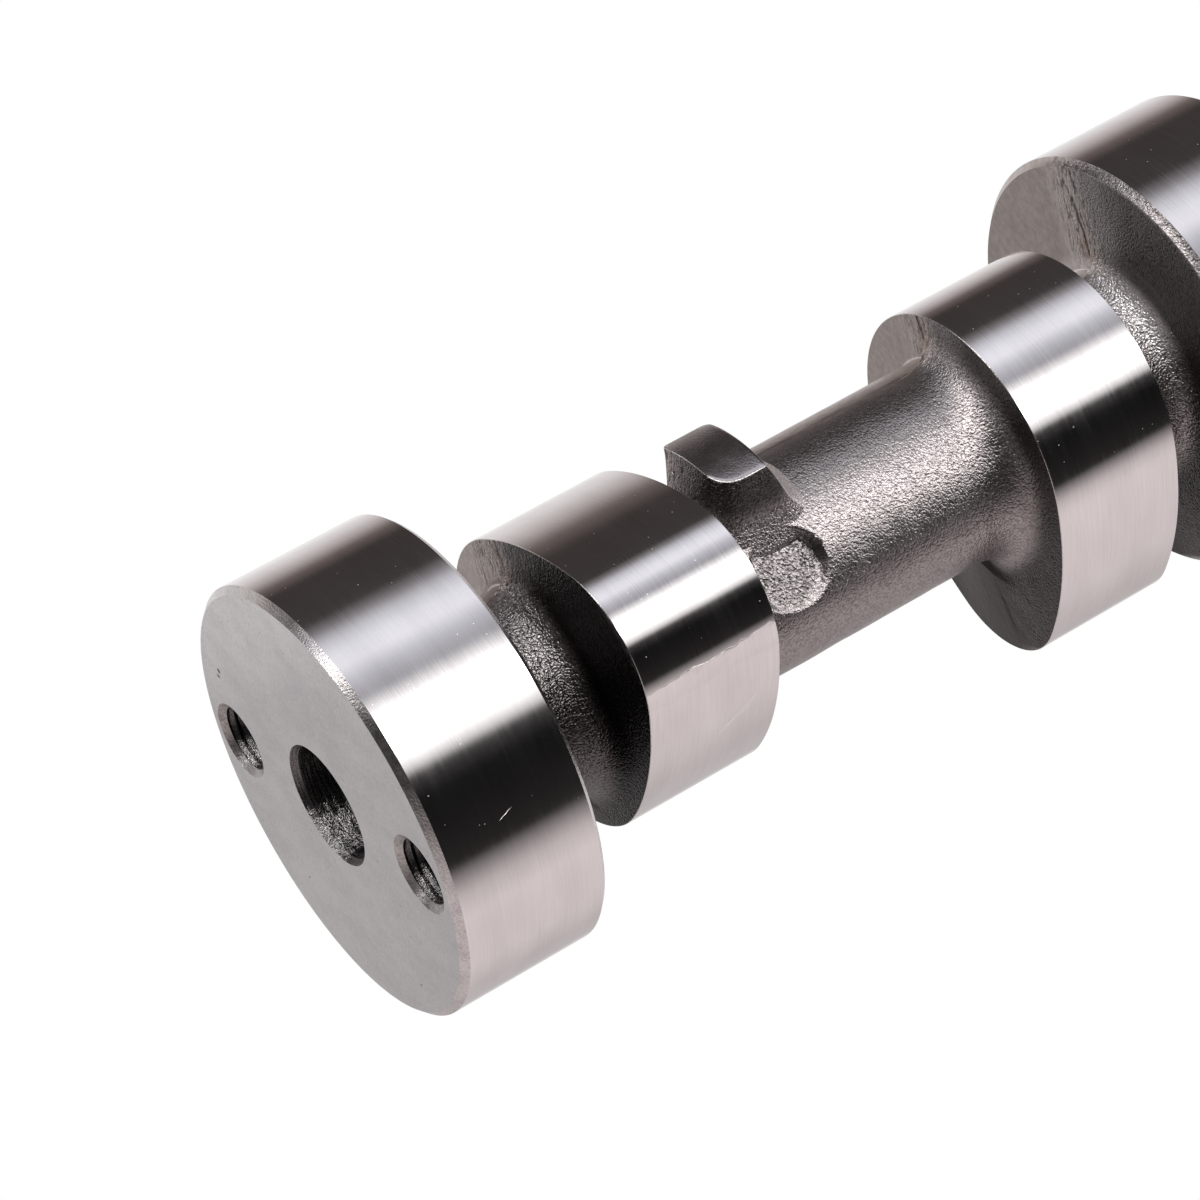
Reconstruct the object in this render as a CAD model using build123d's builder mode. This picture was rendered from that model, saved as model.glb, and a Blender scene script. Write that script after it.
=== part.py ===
from build123d import *
from math import atan2, cos, degrees, radians, sin, sqrt, tan
import os

# Camshaft of a four-cylinder engine, cast in one piece and ground on its journals and lobes.
# Millimetres. +Z runs up the axis to the end with three holes, and the plain end stands on Z = 0.
# Depths are measured down from the top face, and azimuths in degrees from +X towards +Y.

# Journals, which are the largest diameter, so that the shaft slides into its bearings from one end
cylinders = 4
bearing_pitch = 106.6
journal_radius = 25.0
front_journal_length = 17.7
journal_length = 18.0
end_chamfer = 0.8
journal_chamfer = 0.5

# Lobes: a base circle and a nose circle joined by flank arcs that are tangent to both
base_radius = 17.0
nose_radius = 10.6
tip_radius = 24.8
flank_radius = 40.0
lobe_width = 16.4
lobe_depths = (35.9, 91.65)
lobe_azimuths = (34.0, -83.5)
firing_turns = (0.0, -90.0, 90.0, 180.0)

# The cast shaft: one mould half is rough with blended corners, the other square and a little fuller
rough_side_azimuth = 10.0
rough_shaft_radius = 11.3
plain_shaft_radius = 11.6
rough_blend = 5.2
lobe_core_inset = 0.6

# Clamping lug behind the first lobe, which stands on the seam of the rough mould half
lug_depth = 49.3
lug_length = 6.0
lug_top_radius = 17.5
lug_span = 36.0
lug_lean = 13.0
lug_root_radius = 6.0
lug_front_slope = 4.2
lug_front_hollow = 0.8
lug_back_slope = 6.5
lug_corner_radius = 3.4

# Flat round test spot on the rough side of the shaft
spot_depth = 53.5
spot_azimuth = 24.0
spot_radius = 4.6
spot_cut = 0.9

# Holes in the top face: a centre hole between two tapped holes, which lie along X
centre_hole_radius = 6.5
centre_hole_mouth_radius = 7.05
centre_hole_depth = 24.0
centre_mouth_angle = 90.0
tapped_hole_radius = 3.55
tapped_hole_mouth_radius = 4.75
tapped_hole_depth = 13.0
tapped_hole_spacing = 37.6
drill_point_angle = 118.0

# Centre hole in the plain end, on which the shaft turns while it is ground
tail_hole_radius = 2.0
tail_hole_mouth_radius = 5.0
tail_hole_depth = 12.0
tail_mouth_angle = 60.0

total_length = cylinders * bearing_pitch + journal_length
lobe_core_radius = base_radius - lobe_core_inset
seam_azimuth = rough_side_azimuth + 90


def axial_plane(azimuth):
    """Plane through the axis: its x runs outwards at the azimuth and its y runs up the axis."""
    outwards = (cos(radians(azimuth)), sin(radians(azimuth)), 0)
    sideways = (sin(radians(azimuth)), -cos(radians(azimuth)), 0)
    return Plane(origin=(0, 0, 0), x_dir=outwards, z_dir=sideways)


def level_plane(height, azimuth):
    """Plane square to the axis at a height: its x runs outwards at the azimuth."""
    outwards = (cos(radians(azimuth)), sin(radians(azimuth)), 0)
    return Plane(origin=(0, 0, height), x_dir=outwards, z_dir=(0, 0, 1))


def lobe_places():
    """Every lobe's low face and the azimuth of its nose."""
    for cylinder in range(cylinders):
        top = total_length - cylinder * bearing_pitch
        for depth, azimuth in zip(lobe_depths, lobe_azimuths):
            yield top - depth - lobe_width / 2, azimuth + firing_turns[cylinder]


def collars():
    """Every journal and lobe core as low end, high end and radius, from the bottom up."""
    bands = [(total_length - front_journal_length, total_length, journal_radius)]
    for cylinder in range(cylinders):
        low = cylinder * bearing_pitch
        bands.append((low, low + journal_length, journal_radius))
    for low, _ in lobe_places():
        bands.append((low, low + lobe_width, lobe_core_radius))
    return sorted(bands)


def draw_valley(floor_radius, blend, foot, head):
    """Draw the way from one collar's corner down to the shaft, along it and up to the next corner."""
    low, high = foot[1], head[1]
    if not blend:
        Polyline(foot, (floor_radius, low), (floor_radius, high), head)
        return
    rise = min(blend, 0.95 * (lobe_core_radius - floor_radius))
    run = min(blend, 0.48 * (high - low))
    Line(foot, (floor_radius + rise, low))
    Bezier((floor_radius + rise, low), (floor_radius, low), (floor_radius, low + run))
    Line((floor_radius, low + run), (floor_radius, high - run))
    Bezier((floor_radius, high - run), (floor_radius, high), (floor_radius + rise, high))
    Line((floor_radius + rise, high), head)


def journal_corners(section, low, high):
    """Corners of the section on the rims of the journals, from one height to another."""
    margin = 0.01
    rims = section.vertices().filter_by_position(Axis.X, journal_radius - margin, journal_radius + margin)
    return rims.filter_by_position(Axis.Y, low - margin, high + margin)


def half_section(middle_azimuth, shaft_radius, blend):
    """Half section of one mould half on its seam, with its valleys and its chamfered journals."""
    bands = collars()
    with BuildSketch(axial_plane(middle_azimuth - 90)) as section:
        with BuildLine():
            for low, high, radius in bands:
                Line((radius, low), (radius, high))
            for (_, low, low_radius), (high, _, high_radius) in zip(bands, bands[1:]):
                draw_valley(shaft_radius, blend, (low_radius, low), (high_radius, high))
            Polyline((journal_radius, 0), (0, 0), (0, total_length), (journal_radius, total_length))
        make_face()
        chamfer(journal_corners(section, 0, 0), end_chamfer)
        chamfer(journal_corners(section, total_length, total_length), end_chamfer)
        inner_rims = journal_corners(section, journal_length, total_length - front_journal_length)
        chamfer(inner_rims, journal_chamfer)
    return section.sketch


def cam_face(low_face, azimuth):
    """Face of a lobe, drawn with its nose along x: the nose, a flank, the base and a flank."""
    nose_offset = tip_radius - nose_radius
    to_base = flank_radius - base_radius
    to_nose = flank_radius - nose_radius
    centre_x = (to_base**2 - to_nose**2 + nose_offset**2) / (2 * nose_offset)
    centre_y = sqrt(to_base**2 - centre_x**2)
    nose_end = degrees(atan2(centre_y, nose_offset - centre_x))
    base_start = degrees(atan2(centre_y, -centre_x))
    flank = base_start - nose_end
    with BuildSketch(level_plane(low_face, azimuth)) as face:
        with BuildLine():
            CenterArc((nose_offset, 0), nose_radius, -nose_end, 2 * nose_end)
            CenterArc((centre_x, -centre_y), flank_radius, nose_end, flank)
            CenterArc((0, 0), base_radius, base_start, 360 - 2 * base_start)
            CenterArc((centre_x, centre_y), flank_radius, -base_start, flank)
        make_face()
    return face.sketch


def hole_section(x, mouth, inwards, wall_radius, mouth_radius, mouth_angle, depth):
    """Half section of a blind drilled hole with a countersunk mouth and a drill point."""
    mouth_depth = (mouth_radius - wall_radius) / tan(radians(mouth_angle / 2))
    point_depth = wall_radius / tan(radians(drill_point_angle / 2))
    with BuildSketch(axial_plane(0)) as section:
        with BuildLine():
            Polyline(
                (x, mouth),
                (x + mouth_radius, mouth),
                (x + wall_radius, mouth + inwards * mouth_depth),
                (x + wall_radius, mouth + inwards * depth),
                (x, mouth + inwards * (depth + point_depth)),
                close=True,
            )
        make_face()
    return section.sketch


def lug_side_view():
    """Side view of the lug: a hollow front, a straight top and a sloping back."""
    front = total_length - lug_depth
    back = front - lug_length
    front_root = (lug_root_radius, front + lug_front_slope)
    brow = (lug_top_radius, front)
    hollow = ((front_root[0] + brow[0]) / 2 - lug_front_hollow, (front_root[1] + brow[1]) / 2)
    with BuildSketch(axial_plane(seam_azimuth)) as view:
        with BuildLine():
            ThreePointArc(front_root, hollow, brow)
            Polyline(brow, (lug_top_radius, back), (lug_root_radius, back - lug_back_slope), front_root)
        make_face()
    return view.sketch


def lug_cross_section(height):
    """Section of the lug: flat on the seam, round on top, and its far side leaning inwards."""
    top_turn = radians(lug_span)
    foot_turn = radians(lug_span + lug_lean)
    corner = (lug_top_radius * cos(top_turn), -lug_top_radius * sin(top_turn))
    foot = (rough_shaft_radius * cos(foot_turn), -rough_shaft_radius * sin(foot_turn))
    root = (lug_root_radius * cos(foot_turn), -lug_root_radius * sin(foot_turn))
    with BuildSketch(level_plane(height, seam_azimuth)) as section:
        with BuildLine():
            CenterArc((0, 0), lug_top_radius, 0, -lug_span)
            Polyline(corner, foot, root, (lug_root_radius, 0), (lug_top_radius, 0))
        make_face()
    return section.sketch


# The lug is what two prisms share, one along the mould's pull and one along the axis
lug_height = lug_front_slope + lug_length + lug_back_slope
lug_bottom = total_length - lug_depth - lug_length - lug_back_slope
lug_corner_plane = level_plane(total_length - lug_depth, seam_azimuth - lug_span)
lug_corner = lug_corner_plane.from_local_coords((lug_top_radius, 0, 0))
with BuildPart() as lug:
    extrude(lug_side_view(), amount=lug_top_radius)
    extrude(lug_cross_section(lug_bottom), amount=lug_height, mode=Mode.INTERSECT)
    slanting_edges = lug.edges().filter_by(GeomType.ELLIPSE).sort_by_distance(lug_corner)
    fillet(slanting_edges[0], lug_corner_radius)

with BuildPart() as camshaft:
    for middle_azimuth, shaft_radius, blend in (
        (rough_side_azimuth, rough_shaft_radius, rough_blend),
        (rough_side_azimuth + 180, plain_shaft_radius, 0),
    ):
        revolve(half_section(middle_azimuth, shaft_radius, blend), axis=Axis.Z, revolution_arc=180)
    for low_face, azimuth in lobe_places():
        extrude(cam_face(low_face, azimuth), amount=lobe_width)
    add(lug.part)

    # The flat test spot is a round pocket sunk square to the surface
    with BuildSketch(axial_plane(spot_azimuth + 90).offset(rough_shaft_radius - spot_cut)):
        with Locations((0, total_length - spot_depth)):
            Circle(spot_radius)
    extrude(amount=journal_radius, mode=Mode.SUBTRACT)

    # Holes in the top face, then the centre hole in the plain end
    top_hole = hole_section(0, total_length, -1, centre_hole_radius, centre_hole_mouth_radius,
                            centre_mouth_angle, centre_hole_depth)
    revolve(top_hole, axis=Axis.Z, mode=Mode.SUBTRACT)
    for x in (-tapped_hole_spacing / 2, tapped_hole_spacing / 2):
        tapped_hole = hole_section(x, total_length, -1, tapped_hole_radius, tapped_hole_mouth_radius,
                                   drill_point_angle, tapped_hole_depth)
        revolve(tapped_hole, axis=Axis((x, 0, 0), (0, 0, 1)), mode=Mode.SUBTRACT)
    tail_hole = hole_section(0, 0, 1, tail_hole_radius, tail_hole_mouth_radius,
                             tail_mouth_angle, tail_hole_depth)
    revolve(tail_hole, axis=Axis.Z, mode=Mode.SUBTRACT)

camshaft.part.label = "camshaft"
os.makedirs("parts", exist_ok=True)
export_step(camshaft.part, "parts/camshaft.step")
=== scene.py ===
# %% [markdown]
# # A camshaft, dressed for its portrait
#
# The real object is one iron casting. Its journals and lobes are ground bright, its end face is
# turned, and everything between them is left as it came out of the sand mould. The CAD model gives
# the exact shape, and this script gives it its skin: the grain of the casting, the streaks of the
# grinding wheel, worn edges, threads, and the studio it stands in. All lengths here are
# millimetres, and they become metres only in a mesh or a shader, through MM.

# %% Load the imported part
from itertools import product
from math import atan2, cos, pi, radians, sin, sqrt, tan

import bpy
import numpy as np
from mathutils import Matrix, Vector


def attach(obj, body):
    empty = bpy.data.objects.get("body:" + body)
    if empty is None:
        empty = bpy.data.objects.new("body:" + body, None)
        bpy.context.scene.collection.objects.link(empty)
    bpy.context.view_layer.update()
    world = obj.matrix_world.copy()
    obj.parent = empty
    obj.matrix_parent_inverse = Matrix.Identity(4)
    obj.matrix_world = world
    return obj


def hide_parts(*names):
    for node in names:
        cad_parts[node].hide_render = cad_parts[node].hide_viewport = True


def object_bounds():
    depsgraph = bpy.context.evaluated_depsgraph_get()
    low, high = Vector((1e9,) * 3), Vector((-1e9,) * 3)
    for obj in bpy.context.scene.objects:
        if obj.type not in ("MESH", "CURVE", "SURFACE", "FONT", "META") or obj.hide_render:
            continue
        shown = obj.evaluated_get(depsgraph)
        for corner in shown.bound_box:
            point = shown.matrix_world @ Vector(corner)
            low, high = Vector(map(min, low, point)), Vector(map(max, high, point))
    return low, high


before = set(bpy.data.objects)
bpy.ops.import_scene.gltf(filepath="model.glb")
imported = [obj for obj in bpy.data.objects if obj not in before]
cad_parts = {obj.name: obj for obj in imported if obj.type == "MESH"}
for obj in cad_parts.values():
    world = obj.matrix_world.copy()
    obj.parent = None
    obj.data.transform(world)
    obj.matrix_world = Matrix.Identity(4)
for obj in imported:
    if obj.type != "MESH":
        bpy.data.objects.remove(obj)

MM = 0.001
cad_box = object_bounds()
total_length = round(cad_box[1].z / MM, 2)
journal_radius = 25.0
print("CAD box in mm:", [[round(value / MM, 2) for value in corner] for corner in cad_box])

# %% [markdown]
# ## Sizes that the skin shares with the CAD model
#
# Depths are measured down from the top face, and azimuths in degrees from +X towards +Y, just as in
# the part's own source. The shaft repeats itself: one journal and two lobes for every cylinder.

# %% Shared sizes
cylinders = 4
front_journal_length = 17.7
journal_length = 18.0
bearing_pitch = (total_length - journal_length) / cylinders
end_chamfer = 0.8
journal_chamfer = 0.5
cast_rim = 0.8

base_radius = 17.0
nose_radius = 10.6
tip_radius = 24.8
flank_radius = 40.0
lobe_width = 16.4
lobe_depths = (35.9, 91.65)
lobe_azimuths = (34.0, -83.5)
firing_turns = (0.0, -90.0, 90.0, 180.0)

rough_side_azimuth = 10.0
seam_azimuths = (rough_side_azimuth + 90, rough_side_azimuth - 90)
rough_shaft_radius = 11.3
plain_shaft_radius = 11.6
rough_blend = 5.2
plain_blend = 0.4
tapped_hole_spacing = 37.6

collars = []
for cylinder in range(cylinders + 1):
    top = total_length - cylinder * bearing_pitch
    length = front_journal_length if cylinder == 0 else journal_length
    collars.append({"kind": "journal", "low": top - length, "high": top, "number": cylinder + 1})
    if cylinder < cylinders:
        for place, (depth, azimuth) in enumerate(zip(lobe_depths, lobe_azimuths)):
            low = top - depth - lobe_width / 2
            collars.append({"kind": "lobe", "low": low, "high": low + lobe_width,
                            "azimuth": azimuth + firing_turns[cylinder],
                            "number": 2 * cylinder + place + 1})
collars.sort(key=lambda collar: -collar["low"])
print("collars from the top:", [(c["kind"], c["number"]) for c in collars])

# %% [markdown]
# ## Random relief that repeats exactly
#
# Sand leaves bumps of many sizes in iron. They could be painted as a picture, but a picture
# stretches where a surface bends. Here a block of random numbers fills space itself, and each point
# of a surface reads the block where it lies, so a wall and the shaft it grows out of share one
# grain.

# %% A block of random numbers in space
def value_noise(points, cell, seed):
    """Random values from -1 to 1 that change smoothly over about one cell.

    Each point lies in a cube of a lattice with a random number at every corner. The eight numbers
    are mixed by how near their corners are, after the eased weight 3t^2 - 2t^3.
    """
    lattice = np.random.default_rng(seed).uniform(-1, 1, (64, 64, 64))
    place = points / cell
    corner = np.floor(place).astype(int)
    share = place - corner
    share = share * share * (3 - 2 * share)
    total = np.zeros(points.shape[:-1])
    for step in product((0, 1), repeat=3):
        weight = np.prod(np.where(np.array(step) == 1, share, 1 - share), axis=-1)
        index = (corner + np.array(step)) % 64
        total += weight * lattice[index[..., 0], index[..., 1], index[..., 2]]
    return total


def eased(values, low, high):
    """0 below low and 1 above high, with the eased step 3t^2 - 2t^3 between them."""
    share = np.clip((values - low) / (high - low), 0, 1)
    return share * share * (3 - 2 * share)


probe = np.linspace(0, 20, 300).reshape(100, 3)
print("noise runs from", value_noise(probe, 1.0, 1).min().round(2), "to",
      value_noise(probe, 1.0, 1).max().round(2))

# %% [markdown]
# ## From a grid of points to a closed mesh
#
# Nearly every piece of a camshaft goes once round the axis, so one helper serves them all. It takes
# a grid whose columns go round and whose rows follow the profile from the bottom to the top, joins
# neighbours with four-sided faces, and closes both ends with a fan round one point. Rows that run
# upwards while columns run anticlockwise make every face look outwards.

# %% Mesh from a grid that goes round the axis
def closed_mesh(name, grid, materials=(), finishes=0, sharp=35):
    """Make a closed mesh from a grid of points, rows by columns by 3, in millimetres.

    finishes is the number of the material above each row, and the fans take the end rows' ones.
    """
    rows, columns = grid.shape[:2]
    poles = np.stack([grid[0].mean(axis=0), grid[-1].mean(axis=0)])
    vertices = np.concatenate([grid.reshape(-1, 3), poles]) * MM
    here = np.arange(rows * columns).reshape(rows, columns)
    beside = np.roll(here, -1, axis=1)
    quads = np.stack([here[:-1], beside[:-1], beside[1:], here[1:]], axis=-1)
    low_fan = np.stack([beside[0], here[0], np.full(columns, here.size)], axis=-1)
    high_fan = np.stack([here[-1], beside[-1], np.full(columns, here.size + 1)], axis=-1)
    corners = np.concatenate([quads.ravel(), low_fan.ravel(), high_fan.ravel()])
    sizes = np.repeat([4, 3], [(rows - 1) * columns, 2 * columns])
    finishes = np.broadcast_to(finishes, rows)
    slots = np.repeat(np.concatenate([finishes[:-1], finishes[:1], finishes[-1:]]), columns)

    mesh = bpy.data.meshes.new(name)
    mesh.vertices.add(len(vertices))
    mesh.loops.add(len(corners))
    mesh.polygons.add(len(sizes))
    mesh.vertices.foreach_set("co", vertices.astype(np.float32).ravel())
    mesh.loops.foreach_set("vertex_index", corners.astype(np.int32))
    mesh.polygons.foreach_set("loop_start", (np.cumsum(sizes) - sizes).astype(np.int32))
    for material in materials:
        mesh.materials.append(material)
    mesh.polygons.foreach_set("material_index", slots.astype(np.int32))
    mesh.update(calc_edges=True)
    mesh.validate()
    mesh.shade_smooth()
    mesh.set_sharp_from_angle(angle=radians(sharp))
    return mesh


def add_object(name, data):
    """Make an object that stands at the origin, and put it into the scene."""
    made = bpy.data.objects.new(name, data)
    bpy.context.scene.collection.objects.link(made)
    return made


def add_piece(name, mesh):
    """Put a mesh into the scene as a piece that stands for part of the CAD node."""
    piece = add_object(name, mesh)
    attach(piece, "root")
    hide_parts("camshaft")
    return piece


def add_measure(mesh, name, values):
    """Store a number at every vertex, which a material can read by its name."""
    attribute = mesh.attributes.new(name, "FLOAT", "POINT")
    attribute.data.foreach_set("value", values.astype(np.float32))


def read_all(items, field, width, kind=np.float32):
    """Read one field of every vertex or face of a mesh, as rows of the given width."""
    values = np.empty(len(items) * width, dtype=kind)
    items.foreach_get(field, values)
    return values.reshape(-1, width)


def turn_from(azimuth, zero):
    """How far an azimuth lies from another one, in degrees from -180 to 180."""
    return (azimuth - zero + 180) % 360 - 180


def around(radius, height, azimuth):
    """Points at a radius and height for every azimuth in degrees, as rows by columns by 3."""
    radius, height, azimuth = np.broadcast_arrays(radius, height, azimuth)
    turn = np.radians(azimuth)
    return np.stack([radius * np.cos(turn), radius * np.sin(turn), height], axis=-1)


def all_round(columns):
    """Evenly spaced azimuths once round the axis."""
    return np.arange(columns) * 360.0 / columns


# %% [markdown]
# ## Finishes
#
# Four finishes make up the look. Ground iron is a mirror with fine scratches round the axis. Turned
# iron, on the end face and the chamfers, is duller, with rings left by the tool. Cast iron is dark
# and sparkles, because its grain is made of tiny facets that each mirror another part of the room,
# and from the plain mould half it is smoother, paler and a little brown. Bored iron, in the holes,
# is torn, and painted dark as shade on the side away from the light.

# %% Helpers that add one or two shader nodes
def new_material(name):
    """A material with only a Principled shader, and its node tree."""
    material = bpy.data.materials.new(name)
    material.use_nodes = True
    tree = material.node_tree
    return material, tree, tree.nodes["Principled BSDF"]


def feed(tree, node, inputs):
    """Feed a node's inputs from values or from other nodes' outputs."""
    for key, value in dict(inputs).items():
        if isinstance(value, bpy.types.NodeSocket):
            tree.links.new(value, node.inputs[key])
        else:
            node.inputs[key].default_value = value


def add_node(tree, kind, inputs=(), **settings):
    """Add a node, set its properties, then feed its inputs."""
    node = tree.nodes.new(kind)
    for key, value in settings.items():
        setattr(node, key, value)
    feed(tree, node, inputs)
    return node


def dress(tree, shader, tint, dull, relief, metallic=1.0):
    """Give the shader its colour, its roughness, its share of metal and a relief in millimetres."""
    tilt = add_node(tree, "ShaderNodeBump", {"Height": relief, "Distance": MM, "Strength": 1.0})
    feed(tree, shader, {"Base Color": tint, "Roughness": dull, "Metallic": metallic,
                        "Normal": tilt.outputs[0]})


def math_node(tree, operation, *inputs):
    """One arithmetic step on numbers or outputs."""
    return add_node(tree, "ShaderNodeMath", enumerate(inputs), operation=operation).outputs[0]


def vector_math(tree, operation, *inputs):
    """One step on vectors; a length, a distance or a dot product comes out as a number."""
    node = add_node(tree, "ShaderNodeVectorMath", enumerate(inputs), operation=operation)
    return node.outputs["Value" if operation in ("LENGTH", "DISTANCE", "DOT_PRODUCT") else "Vector"]


def times(tree, *values):
    """Product of values."""
    total = values[0]
    for value in values[1:]:
        total = math_node(tree, "MULTIPLY", total, value)
    return total


def weighted(tree, *terms):
    """Sum of values, each times its weight."""
    total = 0.0
    for value, weight in terms:
        total = math_node(tree, "MULTIPLY_ADD", value, weight, total)
    return total


def step_between(tree, value, low, high):
    """0 where the value is at low and 1 where it is at high, eased between them."""
    inputs = {"Value": value, "From Min": low, "From Max": high}
    return add_node(tree, "ShaderNodeMapRange", inputs, interpolation_type="SMOOTHSTEP").outputs[0]


# %% Helpers for places and patterns
def place_in_metres(tree):
    """The point's place on the object."""
    return tree.nodes.new("ShaderNodeTexCoord").outputs["Object"]


def scaled(tree, vector, scale):
    """A vector with each part multiplied, which squeezes a pattern along the larger numbers."""
    return vector_math(tree, "MULTIPLY", vector, scale)


def axis_distance(tree, place):
    """Distance of the point from the axis."""
    return vector_math(tree, "LENGTH", scaled(tree, place, (1, 1, 0)))


def noise(tree, vector, scale=1.0, detail=2.0, roughness=0.5, output=0):
    """Noise from 0 to 1 at the vector, with finer octaves added by detail."""
    inputs = {"Vector": vector, "Scale": scale, "Detail": detail, "Roughness": roughness}
    return add_node(tree, "ShaderNodeTexNoise", inputs).outputs[output]


def cell_distance(tree, vector, scale):
    """Distance to the nearest of many scattered points, in parts of the mean spacing."""
    inputs = {"Vector": vector, "Scale": scale}
    return add_node(tree, "ShaderNodeTexVoronoi", inputs).outputs["Distance"]


def ramp(tree, value, stops):
    """Colours or greys along 0 to 1, given as (place, colour)."""
    node = add_node(tree, "ShaderNodeValToRGB", {0: value})
    elements = node.color_ramp.elements
    while len(elements) < len(stops):
        elements.new(0.5)
    for element, (place, colour) in zip(elements, stops):
        element.position = place
        element.color = (*colour, 1) if isinstance(colour, tuple) else (colour, colour, colour, 1)
    return node.outputs[0]


def blend(tree, share, first, second):
    """The first colour where the share is 0 and the second where it is 1."""
    inputs = {0: share}
    for socket, colour in ((6, first), (7, second)):
        inputs[socket] = (*colour, 1) if isinstance(colour, tuple) else colour
    return add_node(tree, "ShaderNodeMix", inputs, data_type="RGBA").outputs[2]


def mark(tree, place, azimuth, radius, depth, length, width, lean):
    """1 in a long thin ellipse on the skin of a drum, and 0 outside it.

    The point is turned into the ellipse's own frame, where the ellipse is a ball of radius 1. The
    lean is the angle of its long axis from the shaft's axis, towards rising azimuths.
    """
    turn, tilt = radians(azimuth), radians(lean)
    outwards, beside = Vector((cos(turn), sin(turn), 0)), Vector((-sin(turn), cos(turn), 0))
    along = beside * sin(tilt) - Vector((0, 0, 1)) * cos(tilt)
    across = outwards.cross(along)
    frame_of_mark = Matrix((along, across, outwards)).transposed()
    centre = outwards * radius + Vector((0, 0, total_length - depth))
    inputs = {"Vector": place, "Location": centre * MM, "Rotation": frame_of_mark.to_euler(),
              "Scale": Vector((length, width, 3.0)) * MM}
    inside = add_node(tree, "ShaderNodeMapping", inputs, vector_type="TEXTURE").outputs[0]
    return step_between(tree, vector_math(tree, "LENGTH", inside), 1.0, 0.4)


def pit(tree, place, azimuth, radius, size):
    """1 within a small ball on the end face, and 0 outside it."""
    centre = Vector((radius * cos(radians(azimuth)), radius * sin(radians(azimuth)), total_length))
    gap = vector_math(tree, "DISTANCE", place, centre * MM)
    return step_between(tree, gap, size * MM, 0.4 * size * MM)


# %% [markdown]
# ### Ground iron
#
# A grinding wheel leaves scratches that run round the journal, each a few hundredths of a
# millimetre wide. Noise squeezed forty times along the axis gives lines of that kind without a
# picture. Most lines are nearly a mirror and a few are duller, so a bright band keeps its place but
# gets a brushed edge. Specks of dust and a few scratches lie on top.

# %% Ground iron
def ground_iron(name, marks=(), dull_below=None, evenness=0.45):
    """Ground finish; below an azimuth, the flank of a lobe can be duller, up to a wandering line.

    Evenness, from 0 to 1, takes the streaks out of the dullness and half of them out of the relief.
    """
    material, tree, shader = new_material(name)
    place = place_in_metres(tree)
    streaks = noise(tree, scaled(tree, place, (150, 150, 6500)))
    patches = noise(tree, scaled(tree, place, (90, 90, 260)), detail=3.0)
    shade = weighted(tree, (patches, 0.45 + 0.3 * evenness), (streaks, 0.55 - 0.3 * evenness))
    tint = ramp(tree, shade, [(0.35, (0.76, 0.74, 0.735)), (0.65, (0.86, 0.84, 0.835))])
    dull = ramp(tree, streaks, [(0.36, 0.05), (0.55, 0.08), (0.72, 0.12)])
    dull = weighted(tree, (patches, 0.04), (dull, 1.0 - evenness), (1.0, 0.10 * evenness))
    relief = times(tree, streaks, 0.0028 * (1 - 0.5 * evenness))
    spoilt = step_between(tree, cell_distance(tree, place, 800.0), 0.060, 0.03)
    wander = noise(tree, place, 260.0, output="Color")
    shift = vector_math(tree, "SUBTRACT", wander, (0.5, 0.5, 0.5))
    moved = vector_math(tree, "ADD", place, scaled(tree, shift, (0.0026, 0.0026, 0.0026)))
    for sizes in marks:
        scratch = mark(tree, moved, *sizes)
        spoilt = math_node(tree, "MAXIMUM", spoilt, scratch)
        relief = weighted(tree, (scratch, -0.02), (relief, 1.0))
    if dull_below is not None:
        parts = add_node(tree, "ShaderNodeSeparateXYZ", {0: moved}).outputs
        turn = math_node(tree, "ARCTAN2", parts[1], parts[0])
        flank = step_between(tree, turn, radians(dull_below) + 0.003, radians(dull_below) - 0.003)
        dull = math_node(tree, "MAXIMUM", dull, times(tree, flank, 0.12))
        start, end = radians(dull_below), radians(dull_below - 6)
        turns = {"Value": turn, "From Min": start, "From Max": end}
        drop = add_node(tree, "ShaderNodeMapRange", turns).outputs[0]
        relief = weighted(tree, (drop, -0.30), (relief, 1.0))
    dull = math_node(tree, "MAXIMUM", dull, times(tree, spoilt, 0.6))
    dress(tree, shader, blend(tree, spoilt, tint, (0.92, 0.90, 0.89)), dull, relief)
    return material


# %% [markdown]
# ### Turned iron
#
# A lathe tool moves inwards while the face spins, and leaves rings. A pattern that depends on the
# distance from the axis gives them, so the same finish serves the end face, the chamfers and the
# lug's top. Stains and specks lie over the rings, because this face has been handled most.

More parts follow.
